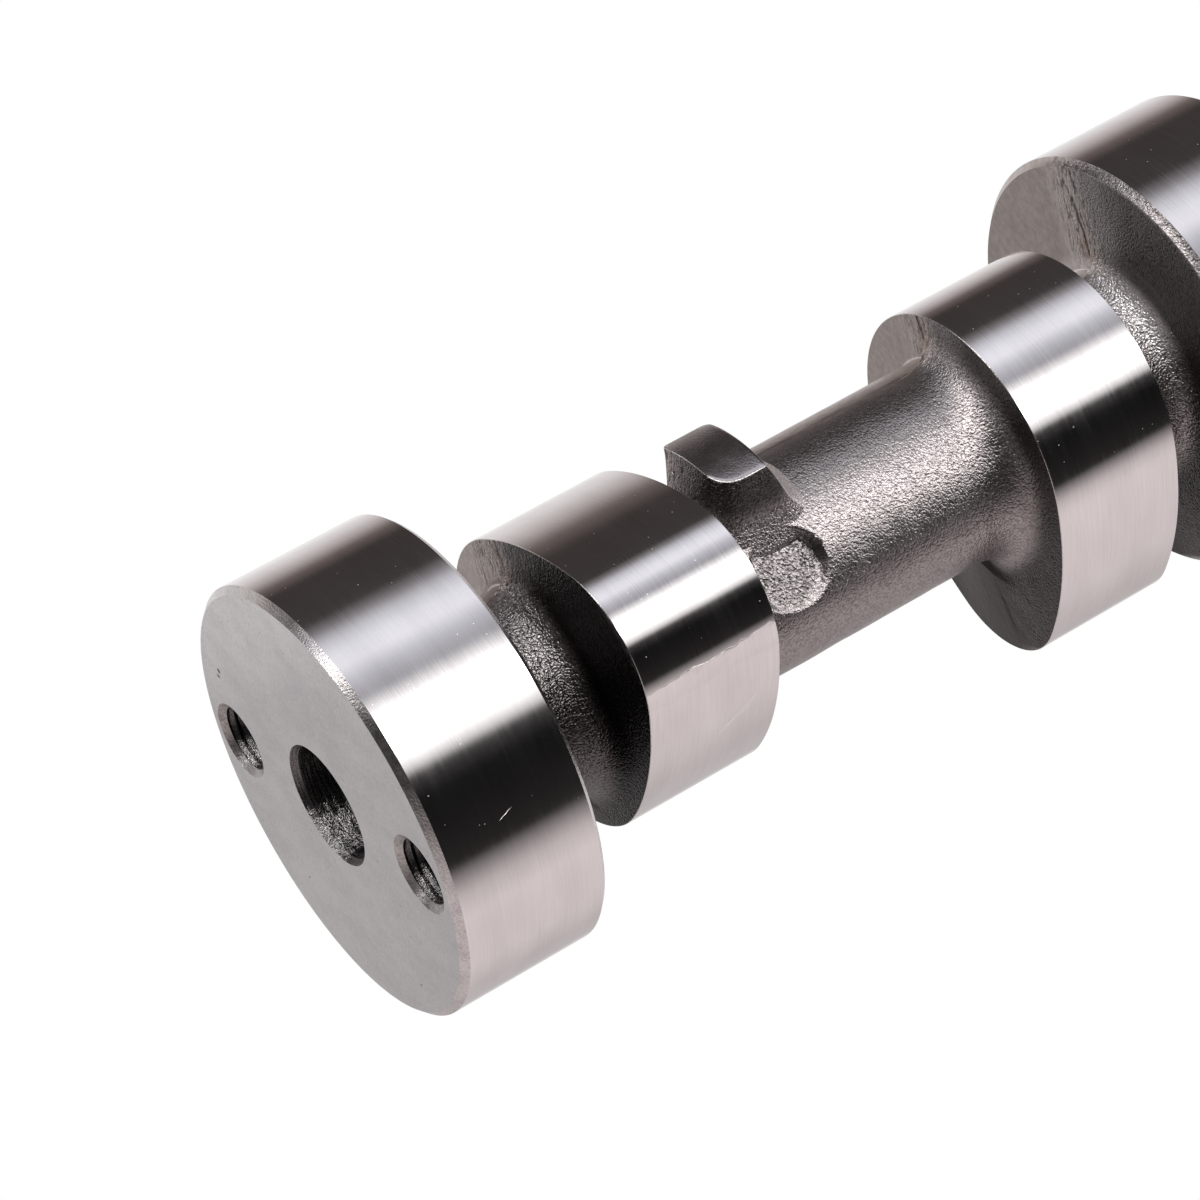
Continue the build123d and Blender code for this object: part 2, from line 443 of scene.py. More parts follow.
# %% Turned iron
def turned_iron(name, dark, light, dullness, pits=(), lean=None, painted_light_side=None):
    """Turned finish with rings round the axis, between a dark and a light tint.

    The lean, a direction times a slope, tilts the shading as if the whole face leaned that way. The
    lit side is the direction towards which the face is painted bright, and away from it the face is
    painted a fifth darker, as shade.
    """
    material, tree, shader = new_material(name)
    place = place_in_metres(tree)
    distance = axis_distance(tree, place)
    rings_at = add_node(tree, "ShaderNodeCombineXYZ", {0: times(tree, distance, 4000.0)}).outputs[0]
    rings = noise(tree, vector_math(tree, "ADD", rings_at, scaled(tree, place, (60, 60, 3000))))
    mottle = noise(tree, place, 350.0, 4.0, 0.6)
    grain = noise(tree, place, 4200.0, 1.0)
    stains = noise(tree, scaled(tree, place, (110, 190, 150)), detail=4.0, roughness=0.65)
    shade = weighted(tree, (mottle, 0.30), (grain, 0.30), (stains, 0.40))
    tint = ramp(tree, shade, [(0.40, dark), (0.58, light)])
    specks = step_between(tree, cell_distance(tree, place, 520.0), 0.10, 0.05)
    tint = blend(tree, times(tree, specks, 0.35), tint, (0.25, 0.23, 0.22))
    if painted_light_side is not None:
        # painted shade: the face darkens by a fifth away from its lit side
        along = vector_math(tree, "DOT_PRODUCT", place, painted_light_side)
        painted_side_shade = step_between(tree, along, 25 * MM, 8 * MM)
        tint = blend(tree, times(tree, painted_side_shade, 0.20), tint, (0.02, 0.02, 0.02))
    for sizes in pits:
        tint = blend(tree, pit(tree, place, *sizes), tint, (0.02, 0.018, 0.016))
    relief = weighted(tree, (rings, 0.006), (grain, 0.020))
    if lean is not None:
        rise = vector_math(tree, "DOT_PRODUCT", place, lean)
        relief = weighted(tree, (rise, 1 / MM), (relief, 1.0))
    dress(tree, shader, tint, math_node(tree, "MULTIPLY_ADD", mottle, 0.15, dullness), relief)
    return material


# %% [markdown]
# ### Cast iron
#
# The skin of a casting copies the grains of sand. Scattered points stand for the grains: every
# point of the surface lies lower the farther it is from the nearest one, as the square of the
# distance, so that each grain becomes a small dome with a glint of its own and a darker tint round
# its foot.
# The plain mould half gets faint noise instead. The seam between them wanders by half a millimetre,
# is torn open in places on the walls and has begun to rust at its foot.

# %% Cast iron, rough and plain
def cast_iron(name, harshness=1.5, fold_height=0.20, fold_reach=5.0, painted_shade=0.0, fillet_highlight=0.0):
    """Finish of the cast skin; the mesh says which places are coarser or smoother than the rest.

    Harshness multiplies the height of the grain. Folds stand by the upper seam, up to their reach.
    The painted shade, from 0 to 1, darkens a valley that the light hardly reaches, save the blend
    at its floor where the light falls. The fillet highlight, from 0 to 1, paints that lit blend
    brighter.
    """
    material, tree, shader = new_material(name)
    place = place_in_metres(tree)
    middle = radians(rough_side_azimuth)
    across = vector_math(tree, "DOT_PRODUCT", place, (cos(middle), sin(middle), 0))
    down = vector_math(tree, "DOT_PRODUCT", place, (sin(middle), -cos(middle), 0))
    radius = axis_distance(tree, place)

    def fade(value, low, high):
        """The step between two limits in millimetres."""
        return step_between(tree, value, low * MM, high * MM)

    lower = fade(down, 0, 9)
    upper = math_node(tree, "SUBTRACT", 1.0, lower)
    wander = noise(tree, place, 420.0, 3.0, 0.6)
    from_seam = weighted(tree, (wander, 1.4 * MM), (across, 1.0), (1.0, -0.7 * MM))
    coarse, smooth = (add_node(tree, "ShaderNodeAttribute", attribute_name=measure).outputs["Fac"]
                      for measure in ("coarse", "smooth"))
    plain = math_node(tree, "MAXIMUM", fade(from_seam, 3.5, -0.8), smooth)

    # Grain: small domes, larger ones in the test spot, and soft waves on the plain half
    stir = noise(tree, place, 1900.0, 1.0, output="Color")
    stirred = vector_math(tree, "MULTIPLY_ADD", stir, (0.0005,) * 3, place)
    grains, boulders = cell_distance(tree, stirred, 3700.0), cell_distance(tree, stirred, 2900.0)
    dust, soft = noise(tree, place, 6000.0, 1.0), noise(tree, place, 1100.0, 2.0, 0.55)
    domes, big_domes = times(tree, grains, grains), times(tree, boulders, boulders)
    relief = weighted(tree, (domes, -0.032 * harshness), (soft, 0.016 * harshness), (dust, 0.014))
    coarse_relief = weighted(tree, (big_domes, -0.065), (dust, 0.02))
    nicked = times(tree, smooth, math_node(tree, "ADD", soft, grains))
    plain_relief = weighted(tree, (soft, 0.035), (dust, 0.010), (nicked, 0.06))
    for share, other in ((coarse, coarse_relief), (plain, plain_relief)):
        mixed = {0: share, 2: relief, 3: other}
        relief = add_node(tree, "ShaderNodeMix", mixed, data_type="FLOAT").outputs[0]

    # Folds by the upper seam
    near_seam = fade(math_node(tree, "ABSOLUTE", across), fold_reach, 0.5)
    wrinkled = times(tree, near_seam, upper, fade(radius, 11.7, 12.4))
    folds = noise(tree, scaled(tree, stirred, (1900, 480, 1500)), detail=3.0, roughness=0.65)
    relief = weighted(tree, (relief, 1.0), (times(tree, folds, wrinkled), fold_height))

    # Colours, with painted shade on the walls, in the creases and on the lower plain half
    tint = ramp(tree, grains, [(0.15, (0.46, 0.43, 0.425)), (0.75, (0.26, 0.24, 0.235))])
    coarse_tint = ramp(tree, boulders, [(0.15, (0.33, 0.31, 0.305)), (0.75, (0.13, 0.12, 0.118))])
    plain_tint = ramp(tree, soft, [(0.3, (0.50, 0.455, 0.43)), (0.7, (0.62, 0.57, 0.545))])
    # painted shade: the plain half is dark on its lower side
    plain_tint = blend(tree, lower, plain_tint, (0.08, 0.074, 0.07))
    plain_tint = blend(tree, smooth, plain_tint, (0.80, 0.76, 0.74))
    on_wall = times(tree, fade(radius, 12.3, 14.8), fade(radius, 24.3, 23.7))
    far = math_node(tree, "MAXIMUM", fade(across, 0.5, 10), lower)
    # painted shade: the walls darken, most of all away from the upper seam
    painted_wall_shade = times(tree, on_wall, weighted(tree, (far, 0.6 + 0.6 * painted_shade), (1.0, 0.12)))
    tint = blend(tree, painted_wall_shade, blend(tree, coarse, tint, coarse_tint), (0.015, 0.013, 0.012))
    tint = blend(tree, plain, tint, plain_tint)
    # painted shade in the creases of the folds
    crease_shade = times(tree, wrinkled, step_between(tree, folds, 0.50, 0.38))
    crease_shade = times(tree, crease_shade, min(3.2 * fold_height, 0.85))
    tint = blend(tree, crease_shade, tint, (0.05, 0.045, 0.043))
    # the blend at the floor on the upper side, where the light falls, is kept out of the painted
    # shade and can get a painted highlight
    lit_fillet = times(tree, fade(down, -2, -6.5), fade(radius, 14.2, 12.3))
    if painted_shade:
        unshaded = math_node(tree, "MAXIMUM", lit_fillet, times(tree, plain, upper))
        shade_share = weighted(tree, (unshaded, -1.6 * painted_shade), (1.0, 1.8 * painted_shade))
        tint = blend(tree, shade_share, tint, (0.01, 0.009, 0.009))
    if fillet_highlight:
        tint = blend(tree, times(tree, lit_fillet, fillet_highlight), tint, (0.9, 0.87, 0.86))

    # Rust at the foot of the seam, and tears along it
    rust = times(tree, fade(math_node(tree, "ABSOLUTE", across), 2.4, 0.4), upper, 0.5,
                 fade(radius, 17.5, 14.5), fade(radius, 11.9, 12.6),
                 step_between(tree, noise(tree, place, 620.0), 0.46, 0.62))
    torn = times(tree, fade(math_node(tree, "ABSOLUTE", from_seam), 0.50, 0.04), upper,
                 fade(radius, 12, 13), fade(radius, 22, 18), step_between(tree, wander, 0.36, 0.50))
    tint = blend(tree, rust, tint, (0.30, 0.13, 0.07))
    tint = blend(tree, times(tree, torn, 0.8), tint, (0.02, 0.017, 0.015))
    relief = weighted(tree, (relief, 1.0), (torn, -0.20))
    dull = weighted(tree, (plain, 0.05), (smooth, 0.12), (1.0, 0.31))
    dress(tree, shader, tint, dull, relief, math_node(tree, "SUBTRACT", 1.0, rust))
    return material


# %% [markdown]
# ### Bored iron
#
# A drill tears the wall of a hole, and the torn edges glint where the light reaches in. The rest of
# the wall is painted black as shade. The bright side could follow from the lamps alone, but the
# painted shade makes it end so sharply, so the finish itself knows which side of each hole is lit.

# %% Bored iron, in the holes
glint_side = (-0.47, -0.88, 0)


def bored_iron():
    """Walls of the holes: rings from the drill, a torn grain that glints, and painted shade on one
    side.

    The three holes lie in a row, so wrapping x by their spacing puts each one's own axis at zero.
    """
    material, tree, shader = new_material("bored_iron")
    place = place_in_metres(tree)
    rings = noise(tree, scaled(tree, place, (300, 300, 3400)))
    torn = noise(tree, place, 5200.0)
    tint = ramp(tree, torn, [(0.36, (0.35, 0.33, 0.325)), (0.56, (1.0, 0.98, 0.97))])
    parts = add_node(tree, "ShaderNodeSeparateXYZ", {0: place}).outputs
    half = tapped_hole_spacing / 4 * MM
    beside = math_node(tree, "WRAP", parts[0], half, -half)
    outwards = add_node(tree, "ShaderNodeCombineXYZ", {0: beside, 1: parts[1]}).outputs[0]
    outwards = vector_math(tree, "NORMALIZE", outwards)
    lit_side = vector_math(tree, "DOT_PRODUCT", outwards, glint_side)
    broken = noise(tree, place, 700.0, 4.0, 0.8)
    lit_side = weighted(tree, (broken, 0.80), (lit_side, 1.0), (1.0, -0.40))
    unshaded = step_between(tree, lit_side, 0.84, 1.08)
    # painted shade: the wall away from the lit side is nearly black
    tint = blend(tree, weighted(tree, (unshaded, -0.85), (1.0, 0.85)), tint, (0.03, 0.028, 0.027))
    relief = weighted(tree, (rings, 0.10), (torn, 0.03), (times(tree, torn, unshaded), 0.22))
    dress(tree, shader, tint, 0.36, relief)
    return material


# %% The finishes, and where the worn places are
journal_marks = [(12.2, 25.0, 8.35, 1.15, 0.045, 22)]
lobe_marks = [(-4.8, 19.4, 38.8, 3.5, 0.60, 32), (19.9, 23.8, 35.8, 8.6, 0.06, 0)]
face_pits = [(153.8, 20.7, 0.40), (156.6, 20.8, 0.32), (-60.0, 21.0, 0.20), (-128.0, 18.5, 0.18)]
ground = ground_iron("ground_iron")
scratched = ground_iron("scratched_ground_iron", journal_marks, evenness=0.65)
witness = ground_iron("ground_iron_with_witness_line", lobe_marks, dull_below=19.8)
lug_middle = radians(seam_azimuths[0] - 18)  # the lug spans 36 degrees from the upper seam
lug_lean_back = Vector((-sin(lug_middle), cos(lug_middle), 0)) * -0.06
turned = turned_iron("turned_iron", (0.80, 0.805, 0.82), (1.0, 1.0, 1.0), 0.24, face_pits,
                     painted_light_side=(-0.36, 0.93, 0))
edging = turned_iron("edge_iron", (0.48, 0.46, 0.455), (0.72, 0.70, 0.69), 0.18)
satin = turned_iron("satin_iron", (0.44, 0.42, 0.42), (0.56, 0.54, 0.54), 0.16, lean=lug_lean_back)
burr = turned_iron("burr_iron", (0.10, 0.095, 0.09), (0.95, 0.94, 0.93), 0.30)
mouth = turned_iron("mouth_iron", (0.22, 0.205, 0.20), (0.50, 0.48, 0.475), 0.26)
cast, harsh = cast_iron("cast_iron"), cast_iron("harsh_cast_iron", 3.4, 0.30, fillet_highlight=0.60)
shaded_cast = cast_iron("cast_iron_with_painted_shade", 3.0, 0.80, 11.0, painted_shade=0.34)
lug_skin = cast_iron("lug_cast_iron", 2.8, 0.60, 8.0, painted_shade=0.05)
bored = bored_iron()
print("finishes:", [material.name for material in bpy.data.materials])

# %% [markdown]
# ## The outline of a lobe
#
# A lobe pushes its follower up and lets it down. Its outline is a base circle, a small nose circle
# and two flank arcs that touch both. A loft or a spline would only come near it. The three arcs can
# be written exactly, as one radius for every angle from the nose.

# %% Radius of a lobe at any angle
nose_offset = tip_radius - nose_radius
flank_offset = flank_radius - base_radius
flank_to_nose = flank_radius - nose_radius
flank_centre_x = (flank_offset**2 - flank_to_nose**2 + nose_offset**2) / (2 * nose_offset)
flank_centre_y = sqrt(flank_offset**2 - flank_centre_x**2)
nose_lean = atan2(flank_centre_y, nose_offset - flank_centre_x)
nose_end = atan2(nose_radius * sin(nose_lean), nose_offset + nose_radius * cos(nose_lean))
base_start = atan2(flank_centre_y, -flank_centre_x)


def lobe_radius(azimuth, nose_azimuth):
    """Radius of the outline at each azimuth.

    A ray at angle t from the nose leaves a circle of radius q, whose centre is c away at angle s,
    at c cos(t - s) + sqrt(q^2 - c^2 sin^2(t - s)). The nose, flank and base circles take turns.
    """
    turn = np.radians(np.abs(turn_from(azimuth, nose_azimuth)))
    nose = nose_offset * np.cos(turn)
    nose = nose + np.sqrt(np.maximum(nose_radius**2 - (nose_offset * np.sin(turn))**2, 0))
    off = turn - atan2(-flank_centre_y, flank_centre_x)
    flank = flank_offset * np.cos(off) + np.sqrt(flank_radius**2 - (flank_offset * np.sin(off))**2)
    return np.where(turn < nose_end, nose, np.where(turn < base_start, flank, base_radius))


print("lobe radius at the nose, flank and back:",
      lobe_radius(np.array([0.0, 60.0, 180.0]), 0.0).round(2))

# %% [markdown]
# ## The cast skin
#
# Between the ground bands the casting keeps its mould skin. One half of the mould left large soft
# corners and a coarse grain. The other half is smoother and has tight corners, and the two meet on
# a seam on each side of the shaft. The relief below is added along the surface's own normals.

# %% Which mould half a point belongs to, and how high its grain stands
edge_calm = 0.3


def plainness(azimuth, spread=1.0):
    """0 on the rough mould half and 1 on the plain one, with a step of a set width at each seam."""
    from_middle = np.abs(turn_from(azimuth, rough_side_azimuth))
    return eased(from_middle, 90.0 - spread, 90.0 + spread)


def cast_relief(points):
    """Height of the mould skin over the smooth shape, in millimetres."""
    azimuth = np.degrees(np.arctan2(points[..., 1], points[..., 0]))
    plain = plainness(azimuth)
    rough = 0.055 * value_noise(points, 5.0, 11) + 0.03 * value_noise(points, 1.8, 12)
    smooth = 0.05 * value_noise(points, 7.0, 14) + 0.01 * value_noise(points, 2.0, 15)
    return rough * (1 - plain) + smooth * plain


def edge_wave(radius, height, azimuth):
    """How far the casting's calmed relief lifts an edge that it shares with a ground band."""
    return edge_calm * cast_relief(around(radius, height, azimuth))


def columns_for_castings(coarse, fine):
    """Azimuths round the shaft, so many per degree, and packed closer together at the two seams."""
    steps = np.linspace(0, 360, 3601)
    near = np.zeros_like(steps)
    for seam in seam_azimuths:
        near = np.maximum(near, 1 - eased(np.abs(turn_from(steps, seam)), 3.0, 9.0))
    density = coarse + (fine - coarse) * near
    travelled = np.concatenate([[0], np.cumsum((density[1:] + density[:-1]) / 2)])
    columns = int(round(travelled[-1] / 10))
    return np.interp(np.arange(columns) / columns * travelled[-1], travelled, steps)


# %% [markdown]
# ### A valley between two collars
#
# Every stretch of casting runs from one collar down to the shaft, along it, and up to the next
# collar. Its walls end where the ground band begins, so their outer edge follows a circle at a
# journal and the lobe's outline at a lobe. On the rough side the walls lean by 0.09 mm for each mm,
# so that the mould could be pulled off, and a parabola, which a mould maker would call a fillet,
# joins them to the floor. Rows and columns then make one closed skin, whose edges are tucked inside
# the collars.

# %% The shape of one valley
edge_bevel = 0.07
tuck = 0.5
tuck_shrink = 1 - tuck / 15  # the middle of a wall lies 15 mm from the axis
draft = 0.09
bulge_height = 0.7
highest_blend = 4.85
calm_reach = 3.0


def rim_radius(collar, azimuth, facing_up):
    """Where a collar's ground band begins, for each azimuth, on its upper or its lower side."""
    if collar["kind"] == "lobe":
        return lobe_radius(azimuth, collar["azimuth"]) - edge_bevel
    return np.full_like(azimuth, journal_radius - (cast_rim if facing_up else journal_chamfer))


def bulge(azimuth):
    """Where the shaft is a little fuller than round: 1 at -13 degrees and gone at 46 and at -61."""
    turn = -turn_from(azimuth, 0)
    return eased(turn, -46, 13) - eased(turn, 13, 61)


def lean(azimuth):
    """Share of the walls' lean: it grows over 28 degrees from one seam and ends past the other."""
    turn = (seam_azimuths[0] - azimuth) % 360
    return eased(turn, 0, 28) - eased(turn, 190, 230)


def valley_profile(lower, upper, azimuth, spacing):
    """Rows of radius, height and share of relief, from the lower collar's rim to the upper one's.

    A wall is a straight line from the rim, and a blend is a parabola: t^2 along one side of its
    corner and (1 - t)^2 along the other.
    """
    past_lower_seam = (azimuth - rough_side_azimuth) % 360 > 180
    plain = plainness(azimuth, np.where(past_lower_seam, 20.0, 2.5))
    fuller = (plain_shaft_radius - rough_shaft_radius) * plainness(azimuth, 16.0)
    floor = rough_shaft_radius + fuller + bulge_height * bulge(azimuth)
    low, high = lower["high"], upper["low"]
    reach = rough_blend + (plain_blend - rough_blend) * plain
    rise = np.minimum(reach, highest_blend)
    run = np.minimum(reach, 0.48 * (high - low))
    flat = high - low - 2 * run
    rims = rim_radius(lower, azimuth, True), rim_radius(upper, azimuth, False)
    walls = [rim - floor - rise for rim in rims]
    drafts = [draft * lean(azimuth) * wall for wall in walls]

    def shares(length, fewest, endpoint=False):
        """A column of steps from 0 to 1, as many as the length needs."""
        rows = max(fewest, int(length / spacing))
        return np.linspace(0, 1, rows, endpoint=endpoint)[:, None]

    down = shares(rims[0].max() - floor.min() - calm_reach, 6)
    bend = shares(6, 6)
    along = shares(flat.max(), 4)
    up = shares(rims[1].max() - floor.min() - calm_reach, 6, endpoint=True)
    stretches = [
        (rims[0] - walls[0] * down, low + drafts[0] * down, rims[0]),
        (floor + rise * (1 - bend)**2, low + run * bend**2 + drafts[0] * (1 - bend)**2, rims[0]),
        (floor, low + run + flat * along, rims[0]),
        (floor + rise * bend**2, high - run * (1 - bend)**2 - drafts[1] * bend**2, rims[1]),
        (floor + rise + walls[1] * up, high - drafts[1] * (1 - up), rims[1]),
    ]
    stretches = [np.broadcast_arrays(*stretch) for stretch in stretches]
    radius, height, rim = (np.concatenate(part) for part in zip(*stretches))
    return radius, height, edge_calm + (1 - edge_calm) * eased(rim - radius, 0, calm_reach)


def grid_normals(grid):
    """Unit normals of a grid that goes round: the cross product of its two directions."""
    along = np.gradient(grid, axis=0)
    beside = np.roll(grid, -1, axis=1) - np.roll(grid, 1, axis=1)
    normals = np.cross(beside, along)
    return normals / np.linalg.norm(normals, axis=-1, keepdims=True)


def valley(name, lower, upper, spacing, columns):
    """One stretch of casting between two collars, as a closed skin with relief."""
    azimuth = columns_for_castings(*columns)
    radius, height, relief = valley_profile(lower, upper, azimuth, spacing)
    has_spot = name == "valley_2"
    if has_spot:
        radius = sink_test_spot(radius, height, azimuth)
    grid = around(radius, height, azimuth)
    grid = grid + grid_normals(grid) * (relief * cast_relief(grid))[..., None]
    shrink, step = np.array([tuck_shrink, tuck_shrink, 1]), np.array([0, 0, tuck])
    grid = np.concatenate([[grid[0] * shrink - step], grid, [grid[-1] * shrink + step]])
    skin = {"valley_1": shaded_cast, "valley_3": harsh}.get(name, cast)
    mesh = closed_mesh(name, grid, [skin], sharp=60)
    if has_spot:
        mark_coarse_bottom(mesh)
    return add_piece(name, mesh)


# %% [markdown]
# ### The test spot
#
# Behind the lug a round pocket was sunk into the skin, where the iron's hardness is tested. Its
# bottom is a plane that leans a little, so along each ray its radius is the plane's distance over
# the cosine of the angle from the plane's normal. Inside the circle the lower of skin and bottom
# wins.

# %% The bottom of the test spot
spot_depth = 53.5
spot_azimuth = 24.0
spot_radius = 4.6
spot_cut = 0.9
spot_turn = 7.0
spot_dip = 0.10


def in_test_spot(radius, height, azimuth, soft=0.5):
    """1 inside the spot's circle and 0 outside; the edge starts soft millimetres inside it."""
    turn = np.radians(turn_from(azimuth, spot_azimuth))
    from_middle = np.hypot(radius * np.sin(turn), height - (total_length - spot_depth))
    return (1 - eased(from_middle, spot_radius - soft, spot_radius + 0.15)) * (np.cos(turn) > 0)


def sink_test_spot(radius, height, azimuth):
    """Lower the skin to the leaning bottom inside the circle."""
    turn = np.radians(turn_from(azimuth, spot_azimuth + spot_turn))
    middle = (rough_shaft_radius - spot_cut) * cos(radians(spot_turn))
    bottom = middle + spot_dip * (height - (total_length - spot_depth))
    bottom = bottom / np.maximum(np.cos(turn), 0.2)
    return radius + (np.minimum(radius, bottom) - radius) * in_test_spot(radius, height, azimuth)


def mark_coarse_bottom(mesh):
    """Store at every vertex how far it lies inside the spot, for the coarse grain there."""
    x, y, height = read_all(mesh.vertices, "co", 3).T / MM
    inside = in_test_spot(np.hypot(x, y), height, np.degrees(np.arctan2(y, x)), soft=1.3)
    add_measure(mesh, "coarse", inside)


# %% Make the valleys of the whole shaft
for number, (upper, lower) in enumerate(zip(collars, collars[1:])):
    seen = number < 3
    spacing, columns = (0.42, (1.0, 3.0)) if seen else (0.8, (0.5, 1.0))
    made = valley(f"valley_{number + 1}", lower, upper, spacing, columns)
    print(made.name, len(made.data.polygons), "faces")

# %% [markdown]
# ## Journals and lobes
#
# A collar is a drum. The wheel touched only its outer face, so its side faces stay cast and are
# left to the valleys. The drum only needs its ground face, the small bevels where that face meets
# the casting, and two discs hidden inside. The bevels move with the relief of the wall beside them.

# %% Ground lobes
disc_inset = 3.0
overlap = 0.01


def lobe(collar):
    """A drum whose radius follows the lobe's outline, with bevels seven hundredths of a mm wide."""
    azimuth = all_round(360)
    radius = lobe_radius(azimuth, collar["azimuth"])
    low, high = collar["low"], collar["high"]
    rim = radius - edge_bevel
    low_rim, high_rim = low - edge_wave(rim, low, azimuth), high + edge_wave(rim, high, azimuth)
    heights = [low_rim + edge_bevel, *np.linspace(low, high, 9)[1:-1], high_rim - edge_bevel]
    rows = [(radius - disc_inset, low + 2 * tuck), (rim - overlap, low_rim)]
    rows += [(radius, height) for height in heights]
    rows += [(rim - overlap, high_rim), (radius - disc_inset, high - 2 * tuck)]
    grid = np.stack([around(radius, height, azimuth) for radius, height in rows])
    name = f"lobe_{collar['number']}"
    face, bevel = 0, 1
    finishes = [bevel] * 2 + [face] * (len(rows) - 5) + [bevel] * 3
    skin = witness if collar["number"] == 1 else ground
    return add_piece(name, closed_mesh(name, grid, [skin, edging], finishes))


for collar in collars:
    if collar["kind"] == "lobe":
        lobe(collar)
print("lobes made:", sum(collar["kind"] == "lobe" for collar in collars))

# %% [markdown]
# ### Journals
#
# A journal is a plain drum with chamfers turned at its edges before it was ground. The first one
# also carries the end face and the last one the plain end. Their centre holes lie on the axis, so
# they are only more rows of the same profile, which runs on over the face and down the hole to its
# point.

# %% Sizes of the holes
drill_point_angle = 118.0
centre_hole = {"wall": 6.6, "mouth": 7.05, "mouth_angle": 60.0, "depth": 24.0}
tail_hole = {"wall": 2.0, "mouth": 5.0, "mouth_angle": 60.0, "depth": 12.0}
tapped_hole = {"wall": 3.75, "mouth": 4.5, "mouth_angle": 100.0, "depth": 13.0}
thread_pitch = 1.0
thread_depth = 0.3


def hole_depths(hole):
    """Depths at which the countersunk mouth ends, the wall ends and the drill's point ends."""
    mouth_end = (hole["mouth"] - hole["wall"]) / tan(radians(hole["mouth_angle"] / 2))
    point_depth = hole["wall"] / tan(radians(drill_point_angle / 2))
    return mouth_end, hole["depth"], hole["depth"] + point_depth


# %% Ground journals
GROUND, TURNED, EDGE, BORED, RIM, MOUTH = range(6)
tip_hole_radius = 0.02
drill_wobble = 0.03


def end_rows(hole, edge_radius):
    """Radius, depth and finish from the edge of an end face to the point of its hole."""
    mouth_end, wall_end, point_end = hole_depths(hole)
    rows = [(radius, 0.0, TURNED) for radius in np.linspace(edge_radius, hole["mouth"], 9)]
    rows[-1] = (hole["mouth"], 0.0, BORED)
    depths = np.linspace(mouth_end, wall_end, 40)
    rubbed = value_noise(np.stack([depths, depths * 0 + 7, depths * 0 + 3], axis=-1), 0.8, 21)
    radii = hole["wall"] + drill_wobble * rubbed
    rows += [(radius, depth, BORED) for radius, depth in zip(radii, depths)]
    return rows + [(tip_hole_radius, point_end, BORED)]


def journal(collar):
    """A drum with a chamfer at both ends, with an edge that follows the casting it meets."""
    azimuth = all_round(360)
    low, high = collar["low"], collar["high"]
    is_first, is_last = collar["number"] == 1, collar["number"] == cylinders + 1
    low_chamfer = end_chamfer if is_last else journal_chamfer
    high_chamfer = end_chamfer if is_first else cast_rim
    low_edge, high_edge = journal_radius - low_chamfer, journal_radius - high_chamfer
    if is_last:
        ending = end_rows(tail_hole, low_edge)
        rows = [(radius, depth) for radius, depth, _ in ending[::-1]]
        finishes = [finish for _, _, finish in ending[-2::-1]] + [EDGE]
    else:
        rows = [(low_edge - disc_inset, low + 2 * tuck),
                (low_edge - overlap, low - edge_wave(low_edge, low, azimuth))]
        finishes = [EDGE, EDGE]
    heights = np.linspace(low + low_chamfer, high - high_chamfer, 10)
    rows += [(journal_radius, height) for height in heights]
    finishes += [GROUND] * (len(heights) - 1)
    if is_first:
        ending = end_rows(centre_hole, high_edge)
        rows += [(radius, high - depth) for radius, depth, _ in ending]
        finishes += [EDGE] + [finish for _, _, finish in ending]
    else:
        for share in (0.25, 0.5, 0.75):
            rounded = high_chamfer * (1 - share)**2
            rows.append((high_edge + rounded, high - rounded * (1 + share)))
        rows += [(high_edge - overlap, high + edge_wave(high_edge, high, azimuth)),
                 (high_edge - disc_inset, high - 2 * tuck)]
        finishes += [RIM] * 5 + [EDGE]
    grid = np.stack([around(radius, height, azimuth) for radius, height in rows])
    name = f"journal_{collar['number']}"
    skins = [scratched if is_first else ground, turned, edging, bored, cast, mouth]
    return add_piece(name, closed_mesh(name, grid, skins, finishes, sharp=25))


journals = [journal(collar) for collar in collars if collar["kind"] == "journal"]
print("journals made:", [piece.name for piece in journals])

# %% [markdown]
# ### Tapped holes
#
# The tapped holes lie off the axis. Cutting them is close to the workshop's way: a drill is a
# closed solid with its point, its wall and its countersink, and Blender subtracts it. The drill
# wears the thread, so the cut leaves the thread in the wall.

# %% A threaded drill as a closed solid
drill_columns = 64


def threaded_drill(x):
    """The solid that a tapped hole is filled with.

    The wall is a cylinder plus a triangle wave that climbs one pitch for each turn.
    """
    azimuth = all_round(drill_columns)
    mouth_end, wall_end, point_end = hole_depths(tapped_hole)
    depths = np.arange(wall_end, mouth_end, -thread_pitch / 8)[:, None]
    turns = depths / thread_pitch + azimuth / 360
    wave = 1 - np.abs(2 * (turns % 1) - 1)
    wall = tapped_hole["wall"] + thread_depth * wave * eased(wall_end - depths, 0.0, 1.0)
    plain_row = np.ones((1, drill_columns))
    radius = np.concatenate([plain_row * tip_hole_radius, wall, plain_row * tapped_hole["wall"],
                             plain_row * tapped_hole["mouth"], plain_row * tapped_hole["mouth"]])
    down = np.concatenate([[[point_end]], depths, [[mouth_end]], [[0.0]], [[-1.0]]])
    return around(radius, total_length - down, azimuth) + np.array([x, 0, 0])


